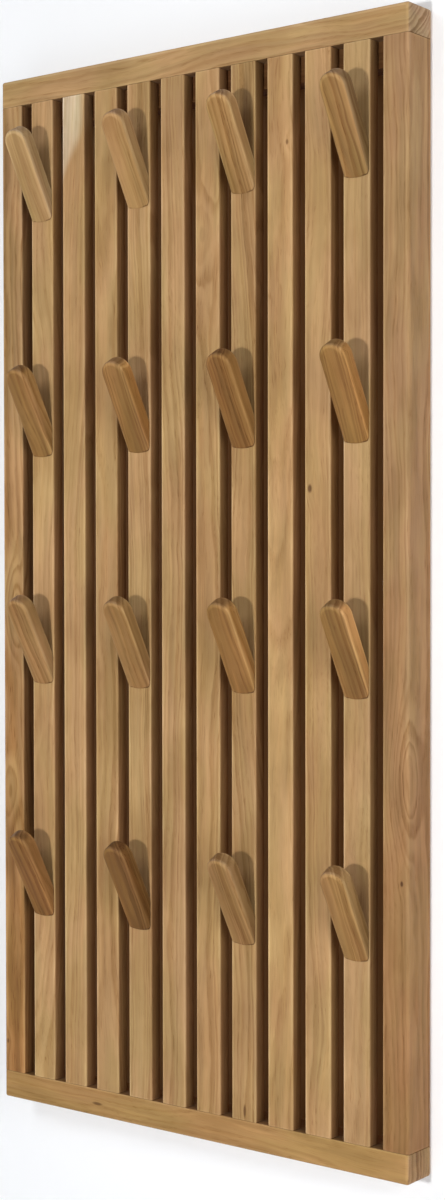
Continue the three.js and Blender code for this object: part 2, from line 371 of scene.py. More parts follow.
def countersink(u, v, head_radius, place):
    """The hole of a countersunk wood screw, whose head lies a little below the surface."""
    head = head_radius + CLEARANCE
    shank = WOOD_SCREW["radius"] + CLEARANCE
    cone_end = HEAD_SINK + WOOD_SCREW["head_height"]
    levels = ((head, 0), (head, HEAD_SINK), (shank, cone_end), (shank, HOLE_DEPTH))
    return layers(place, *[(circle(u, v, radius), level) for radius, level in levels]), []


def slat_mesh(index):
    """A slat. One that carries pegs has the holes of their screws in its back."""
    name = f"slat_{index}"
    middle, size = upright(name, SLAT_TENON)
    pockets = []
    if index in PEG_COLUMNS:
        column = PEG_COLUMNS.index(index) + 1
        for row in range(1, PEG_ROWS + 1):
            head, head_size = node_box(f"peg_screw_row{row}_col{column}")
            pockets.append(countersink(head.x - middle.x, head.z - middle.z, head_size.z / 2,
                                       back_of(size.y / 2)))
    return board(name, size, [SLAT_RADIUS] * 4, BUTT_RADIUS, UPRIGHT_WEAR_AND_HIGHLIGHT, sides={PLUS_Y: pockets},
                 ends=tenons(size, SLAT_TENON))


def stile_mesh(name, outer_side):
    """A stile, whose outer edges are rounder than those beside the slats."""
    _, size = upright(name, STILE_TENON)
    radii = long_radii(outer_side, OUTER_RADIUS, SLAT_RADIUS)
    return board(name, size, radii, BUTT_RADIUS, UPRIGHT_WEAR_AND_HIGHLIGHT, ends=tenons(size, STILE_TENON))


def rail_mesh(name, joint_side):
    """A rail along Z. Its joint side has a mortise for each stile and slat."""
    middle, size = level_bar(name)

    def place(u, v, level):
        return (sign_of(joint_side) * (size.x / 2 - level), u, v)

    pockets = []
    for node, tenon in [(node, STILE_TENON) for node in STILES] + [(node, SLAT_TENON) for node in SLATS]:
        width, depth, length = tenon
        bar, _ = node_box(node)
        mouth = rectangle(bar.y - middle.y, bar.x - middle.x, depth + 2 * CLEARANCE, width + 2 * CLEARANCE)
        pockets.append((layers(place, (mouth, 0), (mouth, length + CLEARANCE)), []))
    radii = long_radii(joint_side, JOINT_RADIUS, OUTER_RADIUS)
    return board(name, size, radii, OUTER_RADIUS, RAIL_WEAR_AND_HIGHLIGHT, joint_side, sides={joint_side: pockets})


def batten_mesh(name):
    """The hanging batten along Z, with the seats of the hanger plates and the holes of its screws."""
    middle, size = level_bar(name)

    def place(u, v, level):
        return (-v, size.y / 2 - level, u)

    pockets = []
    for column in PEG_COLUMNS:
        head, head_size = node_box(f"{BATTEN_SCREW}{column}")
        pockets.append(countersink(head.x - middle.x, 0, head_size.z / 2, place))
    for plate in PLATES:
        seat, seat_size = node_box(f"hanger_plate_{plate}")
        across = seat.x - middle.x
        floor = seat_size.y + CLEARANCE
        in_floor = []
        for end in PLATE_SCREWS:
            head, _ = node_box(f"hanger_screw_{plate}_{end}")
            shank = circle(head.x - middle.x, 0, HANGER_SCREW["radius"] + CLEARANCE)
            in_floor.append((layers(place, (shank, floor), (shank, floor + HOLE_DEPTH)), []))
        well = keyhole(across, KEYHOLE_WELL_MARGIN)
        in_floor.append((layers(place, (well, floor), (well, floor + KEYHOLE_WELL_DEPTH)), []))
        rim = rounded_rectangle(across, 0, seat_size.x + 2 * CLEARANCE, seat_size.z + 2 * CLEARANCE,
                                PLATE_CORNER + CLEARANCE)
        pockets.append((layers(place, (rim, 0), (rim, floor)), in_floor))
    return board(name, size, [BATTEN_RADIUS] * 4, BATTEN_RADIUS, sides={PLUS_Y: pockets})


# Pegs

def peg_profile(half_width):
    """Half of a peg's cross-section, from the middle of its crowned front to the middle of its rear, as
    (distance from the middle, depth, edge paleness) points."""
    def crown(distance):
        return distance ** 2 / (2 * PEG_CROWN_RADIUS)

    def edge(centre_distance, centre_depth, radius, start):
        points = []
        for step in range(PEG_EDGE_STEPS + 1):
            angle = math.radians(start + 90 * step / PEG_EDGE_STEPS)
            distance, depth = radius * math.sin(angle), radius * math.cos(angle)
            points.append((centre_distance + distance, centre_depth - depth, 1))
        return points

    front_flat = half_width - PEG_FRONT_EDGE
    rear_flat = half_width - PEG_REAR_EDGE
    front_inner, rear_inner = front_flat - WEAR_WIDTH, rear_flat - WEAR_WIDTH
    side_top = crown(front_flat) + PEG_FRONT_EDGE
    side_foot = PEG_THICKNESS - PEG_REAR_EDGE
    return [
        (0, 0, 0),
        (front_inner / 2, crown(front_inner / 2), 0),
        (front_inner, crown(front_inner), 0),
        *edge(front_flat, side_top, PEG_FRONT_EDGE, 0),
        (half_width, side_top + WEAR_WIDTH, 0),
        (half_width, side_foot - WEAR_WIDTH, 0),
        *edge(rear_flat, side_foot, PEG_REAR_EDGE, 90),
        (rear_inner, PEG_THICKNESS, 0),
        (0, PEG_THICKNESS, 0),
    ]


def peg_mesh(half_width):
    """A round-ended slab along Z with its front at y = 0, mitred where it meets its slat at the tilt. Its
    profile goes up one side, round the tip and down the other side."""
    tip = PEG_LENGTH - half_width
    profile = peg_profile(half_width)
    stations = [(share / PEG_SHAFT_STEPS, 180) for share in range(PEG_SHAFT_STEPS)]
    stations += [(1, 180 - 180 * step / PEG_TIP_STEPS) for step in range(PEG_TIP_STEPS + 1)]
    stations += [(share / PEG_SHAFT_STEPS, 0) for share in reversed(range(PEG_SHAFT_STEPS))]
    bm = bmesh.new()
    layer = bm.verts.layers.float.new("wear")
    lines = []
    for share, angle in stations:
        across, along = math.cos(math.radians(angle)), math.sin(math.radians(angle))
        line = []
        for distance, depth, wear in profile:
            mitre = depth / math.tan(PEG_TILT)
            vert = bm.verts.new((across * distance, depth, mitre + share * (tip - mitre) + along * distance))
            vert[layer] = wear * (PEG_SIDE_WEAR_AND_HIGHLIGHT + (1 - PEG_SIDE_WEAR_AND_HIGHLIGHT) * along)
            line.append(vert)
        lines.append(line)
    for line, following in zip(lines, lines[1:]):
        for index in range(len(profile) - 1):
            bm.faces.new((line[index], line[index + 1], following[index + 1], following[index]))
    bm.faces.new([*lines[0], *reversed(lines[-1])])
    bmesh.ops.remove_doubles(bm, verts=bm.verts, dist=WELD_DISTANCE)
    return finished("peg", bm)


# Steel

def screw_mesh(name, length, head_radius, kind):
    """A countersunk screw into -Y with its head's flat at y = 0, a thread of rings and a crossed recess."""
    shank, head_height = kind["radius"], kind["head_height"]
    core = shank - THREAD_DEPTH
    levels = [(head_radius, 0), (head_radius, HEAD_RIM), (core, head_height)]
    for turn in range(int((length - head_height - SCREW_POINT) / THREAD_PITCH)):
        start = head_height + (turn + 0.5) * THREAD_PITCH
        crest, end = start + THREAD_SHARE / 2 * THREAD_PITCH, start + THREAD_SHARE * THREAD_PITCH
        levels += [(core, start), (shank, crest), (core, end)]
    levels += [(core, length - SCREW_POINT), (POINT_RADIUS, length)]
    place = back_of(0)
    bm = bmesh.new()
    loops = loops_of(bm, layers(place, *[(circle(0, 0, radius), level) for radius, level in levels]))
    skin(bm, loops)
    recess = layers(place, (cross(kind["cross"]), 0),
                    (cross(kind["cross"] * CROSS_TAPER), head_height * CROSS_DEPTH))
    sink(bm, loops[0], [(recess, [])])
    cover(bm, [loops[-1]])
    return finished(name, bm, STEEL_SHARP_ANGLE)


def plate_mesh(name):
    """A hanger plate about the middle of its back face, with its keyhole and two countersunk holes."""
    middle, size = node_box(name)
    place = back_of(0)

    def outline(inset):
        return rounded_rectangle(0, 0, size.x - 2 * inset, size.z - 2 * inset, PLATE_CORNER - inset)

    holes = [layers(place, (keyhole(0), 0), (keyhole(0), size.y))]
    for end in PLATE_SCREWS:
        head, head_size = node_box(name.replace("plate", "screw") + f"_{end}")
        mouth, shank = head_size.z / 2 + CLEARANCE, HANGER_SCREW["radius"] + CLEARANCE
        levels = ((mouth, 0), (mouth, HEAD_SINK), (shank, size.y))
        across = head.x - middle.x
        holes.append(layers(place, *[(circle(across, 0, radius), level) for radius, level in levels]))
    levels = ((PLATE_ARRIS, 0), (0, PLATE_ARRIS), (0, size.y))
    bm = bmesh.new()
    edge = loops_of(bm, layers(place, *[(outline(inset), level) for inset, level in levels]))
    skin(bm, edge)
    hole_loops = [loops_of(bm, outlines) for outlines in holes]
    for loops in hole_loops:
        skin(bm, loops)
    cover(bm, [edge[0], *[loops[0] for loops in hole_loops]])
    cover(bm, [edge[-1], *[loops[-1] for loops in hole_loops]])
    return finished(name, bm, STEEL_SHARP_ANGLE)


# Node trees

def node_material(name):
    """A new material with an empty node tree, and that tree."""
    material = bpy.data.materials.new(name)
    material.use_nodes = True
    material.node_tree.nodes.clear()
    return material, material.node_tree


def add(tree, kind, inputs=(), **settings):
    """Adds a shader node, sets it, links or sets its inputs and returns its outputs."""
    made = tree.nodes.new("ShaderNode" + kind)
    for name, value in settings.items():
        setattr(made, name, value)
    for key, value in dict(inputs).items():
        if isinstance(value, bpy.types.NodeSocket):
            tree.links.new(value, made.inputs[key])
        else:
            made.inputs[key].default_value = value
    return made.outputs


def calc(tree, operation, *values):
    return add(tree, "Math", enumerate(values), operation=operation)[0]


def times(tree, first, second):
    return calc(tree, "MULTIPLY", first, second)


def vector(tree, operation, *values):
    return add(tree, "VectorMath", enumerate(values), operation=operation)


def ramp(tree, value, low, high, to_low=0.0, to_high=1.0, smooth=True):
    """Maps a value from one range to another, clamped."""
    inputs = {"Value": value, "From Min": low, "From Max": high, "To Min": to_low, "To Max": to_high}
    return add(tree, "MapRange", inputs, interpolation_type="SMOOTHSTEP" if smooth else "LINEAR")[0]


def spread(tree, noise, reach, to_low=0.0, to_high=1.0, smooth=True):
    """Maps a noise from that reach on both sides of a half to a range, clamped."""
    return ramp(tree, noise, 0.5 - reach, 0.5 + reach, to_low, to_high, smooth)


def blend(tree, share, first, second, kind="MIX"):
    """Mixes two colours."""
    return add(tree, "Mix", {0: share, 6: first, 7: second}, data_type="RGBA", blend_type=kind)[2]


def tinted(tree, share, color, tint):
    """Multiplies a colour by a tint, by a share."""
    return blend(tree, share, color, tint, "MULTIPLY")


def spots(tree, place, scale, detail):
    """Even noise, with that many cells to a metre."""
    return add(tree, "TexNoise", {"Vector": place, "Scale": scale, "Detail": detail})[0]


def noise_along(tree, value, scale):
    """Noise over a single value."""
    return add(tree, "TexNoise", {"W": value, "Scale": scale, "Detail": 1.0}, noise_dimensions="1D")[0]


def grain_noise(tree, position, noise):
    """Noise drawn out along the grain: cells to a metre across and along it, and detail."""
    across, along, detail = noise
    scaled = vector(tree, "MULTIPLY", position, (across, across, along))[0]
    return add(tree, "TexNoise", {"Vector": scaled, "Scale": 1.0, "Detail": detail})


def normal_part(tree, axis):
    """How far a face of the piece looks along one of the piece's axes."""
    return add(tree, "SeparateXYZ", {0: add(tree, "TexCoord")["Normal"]})[axis]


def relief(tree, height, depth, strength):
    """A bumpy normal, from a height that counts in depths."""
    return add(tree, "Bump", {"Height": height, "Strength": strength, "Distance": depth})[0]


def rgb(red, green, blue):
    """A display colour, 0 to 255, as the linear colour that a shader takes."""
    def linear(value):
        share = value / 255
        return share / 12.92 if share <= 0.04045 else ((share + 0.055) / 1.055) ** 2.4

    return (linear(red), linear(green), linear(blue), 1)


# Oak

# Its noises: cells to a metre across and along the grain, and detail
WANDER = (11, 3.2, 1.0)
WAVER = (55, 17, 2.0)
PORES = (1100, 30, 1.0)
FIBRE = (210, 5, 3.0)
FINE_FIBRE = (900, 14, 2.0)
BANDS = (85, 6, 2.0)
PATCHES = (34, 9, 2.0)
CLOUDS = (26, 11, 3.0)
SAPWOOD_EDGE = (90, 7, 2.0)

# Growth rings: how far they wander and waver in all, how good and bad years shift them, how soon their
# strength changes, and over which parts of a ring its early wood ends and the next one's starts
WANDER_REACH = 36 * MM
WAVER_REACH = 6 * MM
RINGS_PER_METRE = 190
SEASONS_PER_METRE = 90
SEASON_SHIFT = 2.2
STRENGTH_PER_RING = 0.37
FAINTEST_RING = 0.2
EARLY_ENDS = (0.05, 0.75)
EARLY_STARTS = (0.78, 1.0)

# Pores: from which noise on there is one, and the share of them in the late wood
PORE_LIMITS = (0.54, 0.72)
LATE_PORES = 0.3

# Tints, and how strongly the rings, pores, streaks and bands show
EARLY_TINT = (0.72, 0.64, 0.53, 1)
PORE_TINT = (0.62, 0.52, 0.42, 1)
PINK_TINT = (1.04, 0.98, 0.99, 1)
OLIVE_TINT = (1.00, 1.01, 0.94, 1)
CLOUD_TINT = (0.80, 0.76, 0.70, 1)
END_TINT = (0.84, 0.88, 1.10, 1)
# The next tint pales round edges: rubbed wood, and a painted highlight where they catch the light
WEAR_AND_HIGHLIGHT_TINT = (1.34, 1.46, 1.66, 1)
# The next tint is painted shade, on faces that look into the gaps
PAINTED_SHADE_TINT = (0.57, 0.50, 0.45, 1)
KNOT_TINT = (0.34, 0.26, 0.20, 1)
SAPWOOD = rgb(213, 193, 160)
EARLY_STRENGTH = 0.8
PORE_STRENGTH = 0.7
STREAK = 0.07
FINE_STREAK = 0.04
DARK_BAND = 0.10
PALE_BAND = 0.07

# Surface. A relief is its depth and its strength
OAK_ROUGHNESS = 0.58
PORE_ROUGHNESS = 0.20
FIBRE_ROUGHNESS = (-0.05, 0.07)
EARLY_DEPTH = 0.35
FIBRE_HEIGHT = 0.35
OAK_RELIEF = (0.12 * MM, 0.5)
OAK_IOR = 1.45
GLOSS = 0.25

# How squarely a face looks along an axis, to count not at all and fully
FACING = (0.5, 0.9)
# Painted shade in the gaps: GAP_FACING counts how squarely a face looks sideways, GAP_FADE the depth behind
# the front over which it comes in
GAP_FACING = (0.6, 0.9)
GAP_FADE = 3.5 * MM

# Pegs: the hue of the painted light on their sides, and the dark line at the foot, which fades over a height
# and comes and goes
PAINTED_SIDE_LIGHT_HUE = (1, 1.07, 1.24)
LINE_HEIGHTS = (0.8 * MM, 0.3 * MM)
LINE_SPOTS_PER_METRE = 120
LINE_SPOTS = (0.42, 0.6)
LINE_STRENGTH = (0.1, 0.8)

# Knots by kind: their squeeze across, in depth and along the grain, where less draws them out, and their
# push on the rings. The swirl, the rim and the core are shares of a knot's reach
KNOT_KINDS = {
    "pin": ((1, 0.3, 0.6), 0.9),
    "soft": ((1, 0.3, 0.45), 0.9),
    "slit": ((1, 0.3, 0.25), 0.9),
    "stain": ((1, 0.3, 0.1), 0),
    "eye": ((1, 0.9, 0.32), 2.3),
}
KNOT_SWIRL = 3
KNOT_RIM = 0.55
KNOT_CORE = 0.2

# The sapwood streak keeps to the left, widens as it rises and has an uneven edge
SAPWOOD_LEAN = -42
SAPWOOD_UNEVEN = 0.6
SAPWOOD_RISE = (-0.8, 1)
SAPWOOD_LIMITS = (0.5, 1.1)

# How far up a stile's upper half its foot's tone reaches
FOOT_TONE_TOP = 0.4


def growth_rings(tree, position, swirl, figure):
    """The place in the wood with the straying of its grain, and how deep in dark early wood it is."""
    bent = position
    for noise, reach in ((WANDER, WANDER_REACH), (WAVER, WAVER_REACH)):
        drift = grain_noise(tree, position, noise)["Color"]
        stray = vector(tree, "MULTIPLY_ADD", drift, (reach, reach, 0), (-reach / 2, -reach / 2, 0))[0]
        bent = vector(tree, "ADD", bent, stray)[0]
    flat = vector(tree, "MULTIPLY", bent, (1, 1, 0))[0]
    radius = calc(tree, "ADD", vector(tree, "LENGTH", flat)["Value"], swirl)
    seasons = times(tree, noise_along(tree, radius, SEASONS_PER_METRE), SEASON_SHIFT)
    rings = calc(tree, "MULTIPLY_ADD", radius, RINGS_PER_METRE, seasons)
    phase = calc(tree, "FRACT", rings)
    early = calc(tree, "ADD", ramp(tree, phase, *EARLY_ENDS, 1.0, 0.0), ramp(tree, phase, *EARLY_STARTS))
    strength = noise_along(tree, times(tree, rings, STRENGTH_PER_RING), 1.0)
    early = times(tree, early, spread(tree, strength, 0.2, FAINTEST_RING, 1.0))
    return bent, times(tree, early, figure)


def oak_group():
    """Oak as a solid: growth rings round a pith along Z, pores drawn out along it, slow changes of tone."""
    tree = bpy.data.node_groups.new("oak", "ShaderNodeTree")
    face = tree.interface
    for name, kind in (("Position", "Vector"), ("Tone", "Color"), ("Figure", "Float"), ("Swirl", "Float"),
                       ("Knot", "Float"), ("Sapwood", "Float"), ("End rings", "Float")):
        face.new_socket(name, in_out="INPUT", socket_type=f"NodeSocket{kind}")
    for name, kind in (("Color", "Color"), ("Roughness", "Float"), ("Height", "Float")):
        face.new_socket(name, in_out="OUTPUT", socket_type=f"NodeSocket{kind}")
    given = tree.nodes.new("NodeGroupInput").outputs
    position = given["Position"]
    bent, early = growth_rings(tree, position, given["Swirl"], given["Figure"])

    pores = ramp(tree, grain_noise(tree, bent, PORES)[0], *PORE_LIMITS)
    pores = times(tree, pores, calc(tree, "MULTIPLY_ADD", early, 1 - LATE_PORES, LATE_PORES))
    fibre, fine_fibre, bands = [grain_noise(tree, bent, noise)[0] for noise in (FIBRE, FINE_FIBRE, BANDS)]
    patches, clouds = [grain_noise(tree, position, noise)[0] for noise in (PATCHES, CLOUDS)]

    color = blend(tree, given["Sapwood"], given["Tone"], SAPWOOD)
    color = tinted(tree, spread(tree, clouds, 0.2), color, CLOUD_TINT)
    color = tinted(tree, 1.0, color, blend(tree, spread(tree, patches, 0.15), PINK_TINT, OLIVE_TINT))
    color = tinted(tree, times(tree, early, EARLY_STRENGTH), color, EARLY_TINT)
    streaks = calc(tree, "ADD", spread(tree, fibre, 0.25, 1 - STREAK, 1 + STREAK, False),
                   spread(tree, fine_fibre, 0.25, -FINE_STREAK, FINE_STREAK, False))
    bands = times(tree, spread(tree, bands, 0.2, -DARK_BAND, PALE_BAND), given["Figure"])
    streaks = calc(tree, "ADD", streaks, bands)
    color = add(tree, "VectorMath", {0: color, "Scale": streaks}, operation="SCALE")[0]
    color = tinted(tree, times(tree, pores, PORE_STRENGTH), color, PORE_TINT)
    color = tinted(tree, given["Knot"], color, KNOT_TINT)

    end_grain = ramp(tree, calc(tree, "ABSOLUTE", normal_part(tree, "Z")), *FACING)
    color = tinted(tree, end_grain, color, END_TINT)
    end_rings = times(tree, times(tree, end_grain, early), given["End rings"])
    color = tinted(tree, end_rings, color, EARLY_TINT)
    # Paler round edges: rubbed wood, and painted highlight where edges catch the light
    color = tinted(tree, add(tree, "Attribute", attribute_name="wear")["Fac"], color, WEAR_AND_HIGHLIGHT_TINT)

    roughness = calc(tree, "MULTIPLY_ADD", pores, PORE_ROUGHNESS, OAK_ROUGHNESS)
    roughness = calc(tree, "ADD", roughness, spread(tree, fibre, 0.3, *FIBRE_ROUGHNESS, False))
    height = calc(tree, "MULTIPLY_ADD", pores, -1.0, times(tree, early, -EARLY_DEPTH))
    height = calc(tree, "MULTIPLY_ADD", fine_fibre, FIBRE_HEIGHT, height)

    result = tree.nodes.new("NodeGroupOutput")
    for name, value in (("Color", color), ("Roughness", roughness), ("Height", height)):
        tree.links.new(value, result.inputs[name])
    return tree


OAK = oak_group()


def knot_marks(tree, place, knots):
    """How far a piece's knots push its rings aside, and how dark they are."""
    swirl, dark = 0.0, 0.0
    for spot, reach, darkness, kind in knots:
        squeeze, pull = KNOT_KINDS[kind]
        apart = vector(tree, "MULTIPLY", vector(tree, "SUBTRACT", place, spot)[0], squeeze)[0]
        distance = vector(tree, "LENGTH", apart)["Value"]
        swirl = calc(tree, "ADD", swirl, ramp(tree, distance, reach * KNOT_SWIRL, 0, 0, reach * pull))
        mark = ramp(tree, distance, reach * KNOT_RIM, reach * KNOT_CORE, 0, darkness)
        dark = calc(tree, "ADD", dark, mark)
    return swirl, dark


def foot_line(tree, place, y, z):
    """The dark line round a peg's foot, by the height above its slat."""
    height = calc(tree, "SUBTRACT", times(tree, z, math.sin(PEG_TILT)),
                  times(tree, y, math.cos(PEG_TILT)))
    uneven = ramp(tree, spots(tree, place, LINE_SPOTS_PER_METRE, 1.0), *LINE_SPOTS, *LINE_STRENGTH)
    return times(tree, ramp(tree, height, *LINE_HEIGHTS), uneven)


def sapwood_streak(tree, place, x, z, heights):
    """The pale wood at a board's head, which starts at one height and is full at another."""
    rise = ramp(tree, z, *heights, *SAPWOOD_RISE)
    streak = calc(tree, "MULTIPLY_ADD", grain_noise(tree, place, SAPWOOD_EDGE)[0], SAPWOOD_UNEVEN, rise)
    return ramp(tree, calc(tree, "MULTIPLY_ADD", x, SAPWOOD_LEAN, streak), *SAPWOOD_LIMITS)


def painted_gap_shade(tree, y, faces, front):
    """The share of painted shade at a point in a gap: on the faces given by axis and sign, behind the front.
    """
    shade = 0.0
    for axis, sign in faces:
        facing = ramp(tree, times(tree, normal_part(tree, axis), sign), *GAP_FACING)
        shade = calc(tree, "MAXIMUM", shade, facing)
    return times(tree, shade, ramp(tree, y, front, front + GAP_FADE))


def oak(name, tone, cut, figure=1.0, knots=(), sapwood=None, foot=None, painted_shade_faces=(), front=0.0,
        painted_side_light=None, end_rings=0.4):
    """A piece's own oak. cut is its place from the pith in its tree, and its lean there. A knot is its place
    in the piece, reach, darkness and kind. sapwood is where the pale wood starts and is full, and foot the
    tone at the lower end and half the length. painted_shade_faces, by axis and sign, get painted shade:
    dark and dull behind the front. painted_side_light is a peg's: painted light on its sides, as their
    lightness against its front's, and it draws the line at its foot. end_rings is how clearly the rings
    show on the end grain."""
    material, tree = node_material(name)
    place = add(tree, "TexCoord")["Object"]
    x, y, z = add(tree, "SeparateXYZ", {0: place})
    offset, lean = cut
    position = add(tree, "Mapping", {"Vector": place, "Location": offset, "Rotation": lean})[0]
    swirl, dark = knot_marks(tree, place, knots)
    if painted_side_light:
        dark = calc(tree, "ADD", dark, foot_line(tree, place, y, z))
    if foot:
        foot_tone, half_length = foot
        tone = blend(tree, ramp(tree, z, -half_length, half_length * FOOT_TONE_TOP), foot_tone, tone)
    pale = sapwood_streak(tree, place, x, z, sapwood) if sapwood else 0.0
    wood = add(tree, "Group", {
        "Position": position, "Tone": tone, "Figure": figure, "Swirl": swirl, "Knot": dark, "Sapwood": pale,
        "End rings": end_rings}, node_tree=OAK)
    color, roughness = wood["Color"], wood["Roughness"]
    # Painted shade: faces that look into the gaps are darkened and dulled behind the front
    if painted_shade_faces:
        shade = painted_gap_shade(tree, y, painted_shade_faces, front)
        color = tinted(tree, shade, color, PAINTED_SHADE_TINT)
        roughness = calc(tree, "MULTIPLY_ADD", shade, calc(tree, "SUBTRACT", 1.0, roughness), roughness)
    # Painted light on the peg's sides: lighter and cooler than its front
    if painted_side_light:
        side = ramp(tree, calc(tree, "ABSOLUTE", normal_part(tree, "X")), *FACING)
        color = tinted(tree, side, color, (*[painted_side_light * share for share in PAINTED_SIDE_LIGHT_HUE], 1))
    bump = relief(tree, wood["Height"], *OAK_RELIEF)
    shader = add(tree, "BsdfPrincipled", {
        "Base Color": color, "Roughness": roughness, "IOR": OAK_IOR, "Specular IOR Level": GLOSS,
        "Normal": bump})
    add(tree, "OutputMaterial", {"Surface": shader[0]})
    return material


# Zinc plating
DULL_ZINC = rgb(186, 189, 192)
BRIGHT_ZINC = rgb(214, 216, 214)
MOTTLES_PER_METRE = 260
BRUSHED = (3200, 200, 2.0)
MOTTLE_ROUGHNESS = (0.26, 0.42)
BRUSHED_ROUGHNESS = 0.08
STEEL_RELIEF = (0.03 * MM, 0.25)


def steel(name):
    """Zinc plated steel: slightly mottled, faintly brushed."""
    material, tree = node_material(name)
    place = add(tree, "TexCoord")["Object"]
    mottle = spots(tree, place, MOTTLES_PER_METRE, 3.0)
    brushed = grain_noise(tree, place, BRUSHED)[0]
    color = blend(tree, spread(tree, mottle, 0.2), DULL_ZINC, BRIGHT_ZINC)
    roughness = calc(tree, "ADD", spread(tree, mottle, 0.3, *MOTTLE_ROUGHNESS),
                     spread(tree, brushed, 0.5, 0, BRUSHED_ROUGHNESS))
    bump = relief(tree, brushed, *STEEL_RELIEF)
    shader = add(tree, "BsdfPrincipled", {
        "Base Color": color, "Roughness": roughness, "Metallic": 1.0, "Normal": bump})
    add(tree, "OutputMaterial", {"Surface": shader[0]})
    return material


# Pieces

# A level board is turned so that its own Z is the rack's X and its X points down
LEVEL = Matrix.Rotation(math.radians(90), 4, "Y")

# Cuts from the tree: distance from the pith, place along it in metres, and lean in degrees
SLAT_PITH = (0.04, 0.12)
STILE_PITH = 0.04
RAIL_PITH = 0.06
BATTEN_PITH = 0.09
PEG_PITH = (0.04, 0.10)
PLACE_ALONG = (-5, 5)
LEAN = (-2.2, 2.2)

# A warmer colour's red goes up by this share of what its blue goes down
RED_SHARE = 0.4

# Each stile's outer side, the angle of its pith, its figure, and its tones at the foot and at the top
STILE_OAK = {
    "left_stile": (MINUS_X, 12, 1.9, rgb(177, 135, 84), rgb(180, 145, 101)),
    "right_stile": (PLUS_X, 65, 1.2, rgb(155, 117, 75), rgb(167, 133, 93)),
}
# Each rail's joint side, the angle of its pith and its tone
RAIL_OAK = {
    "top_rail": (PLUS_X, 40, rgb(184, 151, 105)),
    "bottom_rail": (MINUS_X, 20, rgb(171, 135, 85)),
}
RAIL_END_RINGS = 1.2
BATTEN_OAK = rgb(144, 106, 68)
BATTEN_ANGLE = 55
# Faces by axis and sign
BOTH_SIDES = ((0, 1), (0, -1))
FRONT = (1, -1)

SLAT_OAK = rgb(183, 149, 104)
SLAT_FIGURE = (0.7, 1.1)
# Each slat's lightness and warmth, and the angle of its pith
SLAT_CUTS = (
    (1.06, 0.00, 35), (1.05, 0.00, 70), (0.94, 0.04, 15), (1.00, 0.00, 80), (0.98, 0.00, 50),
    (0.95, 0.04, 25), (0.88, 0.05, 75), (1.06, 0.02, 10), (0.98, 0.03, 60), (0.94, 0.00, 40),
)
# Knots of uprights: across from the middle, above the rack's foot, reach, darkness and kind
SLAT_KNOTS = {
    6: [(-6 * MM, 0.909, 9 * MM, 0.25, "soft")],
    7: [(1 * MM, 0.038, 4 * MM, 0.9, "slit"), (5 * MM, 1.0, 14 * MM, 0.75, "stain")],
    8: [(9 * MM, 0.988, 4 * MM, 0.8, "pin")],
    9: [(-9 * MM, 0.653, 6 * MM, 1.0, "pin")],
}
STILE_KNOTS = {
    "left_stile": [(-10 * MM, 0.061, 4 * MM, 0.8, "pin"), (2 * MM, 0.53, 7 * MM, 0, "eye"),
                   (-4 * MM, 0.335, 6 * MM, 0, "eye")],
    "right_stile": [(7 * MM, 0.282, 4 * MM, 1.0, "pin"), (11 * MM, 0.376, 11 * MM, 0, "eye")],
}
# Knots of rails: below the middle, along from it, reach, darkness and kind
RAIL_KNOTS = {"bottom_rail": [(1 * MM, -0.126, 4 * MM, 0.9, "slit")]}
# The slat with a pale streak, and the heights above the foot where that starts and is full
SAPWOOD_SLAT = 2
SAPWOOD_HEIGHTS = (0.95, 1.05)
# The pegs' shades of oak, each with the strength of its figure
PEG_SHADES = {
    "straw": (rgb(180, 147, 99), 0.6),
    "flax": (rgb(167, 132, 86), 0.8),
    "olive": (rgb(160, 127, 80), 1.8),
    "hazel": (rgb(150, 117, 71), 1.6),
    "honey": (rgb(157, 121, 75), 1.2),
    "amber": (rgb(147, 110, 63), 1.4),
    "brown": (rgb(137, 99, 54), 1.6),
    "umber": (rgb(121, 86, 45), 1.7),
}
# Each peg's shade of oak, and the painted light on its sides as their lightness against its front's, by
# row and column
PEG_TONES_AND_SIDE_LIGHT = (
    (("straw", 0.9), ("flax", 1.1), ("olive", 1.3), ("hazel", 0.7)),
    (("amber", 1.2), ("amber", 1.8), ("brown", 1.25), ("amber", 1.75)),
    (("honey", 1.0), ("honey", 1.2), ("amber", 1.45), ("amber", 2.1)),
    (("brown", 1.2), ("umber", 1.15), ("honey", 0.88), ("honey", 0.9)),
)
PEG_LIGHTNESS = (0.96, 1.04)
PEG_WARMTH = (-0.03, 0.03)
PEG_ANGLES = (40, 90)

SEED = 11
draw = random.Random(SEED)


def cut_from(angle, distance):
    """A cut at that distance from the pith, which lies before the piece's front at 0 degrees and beside it,
    at -X, at 90."""
    turn = math.radians(angle)
    offset = (distance * math.sin(turn), distance * math.cos(turn), draw.uniform(*PLACE_ALONG))
    lean = (math.radians(draw.uniform(*LEAN)), math.radians(draw.uniform(*LEAN)), 0)
    return offset, lean


def toned(color, value, warmth):
    """A colour made lighter by a factor, and warmer."""
    red, green, blue, _ = color
    return (red * value * (1 + warmth * RED_SHARE), green * value, blue * value * (1 - warmth), 1)


def knots_of(knots, middle, depth):
    """Knots on an upright's front, from its middle's place in the rack."""
    return [((across, -depth / 2, FOOT_LEVEL + height - middle.z), *rest) for across, height, *rest in knots]


